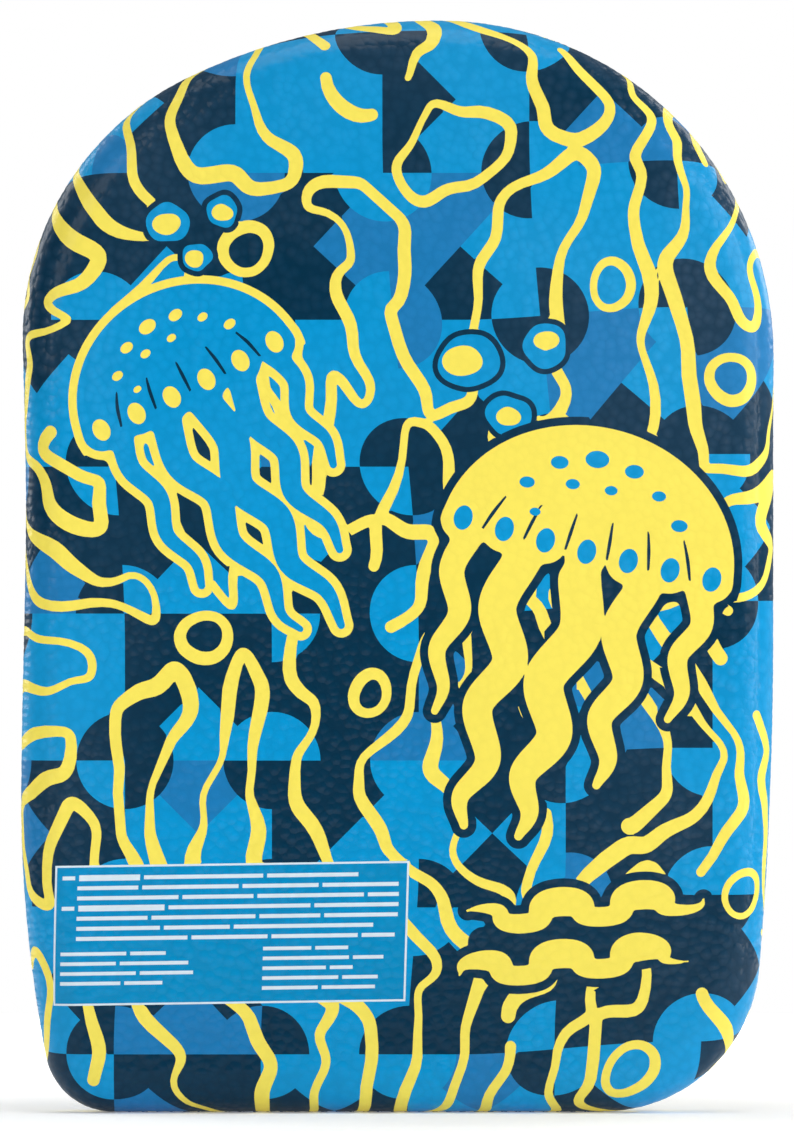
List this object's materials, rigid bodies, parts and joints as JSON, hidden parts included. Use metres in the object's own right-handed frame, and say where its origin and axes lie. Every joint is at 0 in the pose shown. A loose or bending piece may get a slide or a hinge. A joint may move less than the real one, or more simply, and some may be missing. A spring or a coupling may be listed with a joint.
{
  "type": "kickboard",
  "caption": "Swimming kickboard with a rounded nose and softly rounded edges: a light foam slab in a tight, sewn fabric cover with an all-over reef print.",
  "frame": {"origin": "under the middle of the board's box, level with the lowest point of its tail, in the plane of the seam", "axes": "+Z from the tail to the nose, the printed front faces -Y, +X to the right as the front is looked at"},
  "size_m": [0.298, 0.038, 0.432],
  "materials": {
    "bead_foam": "moulded bead foam, matte",
    "printed_cover": "printed stretch fabric with a film face, satin",
    "thread": "polyester sewing thread"
  },
  "bodies": {
    "root": {"foam_core": "bead_foam", "front_cover": "printed_cover", "back_cover": "printed_cover", "seam_thread": "thread", "closing_thread": "thread"}
  },
  "joints": []
}
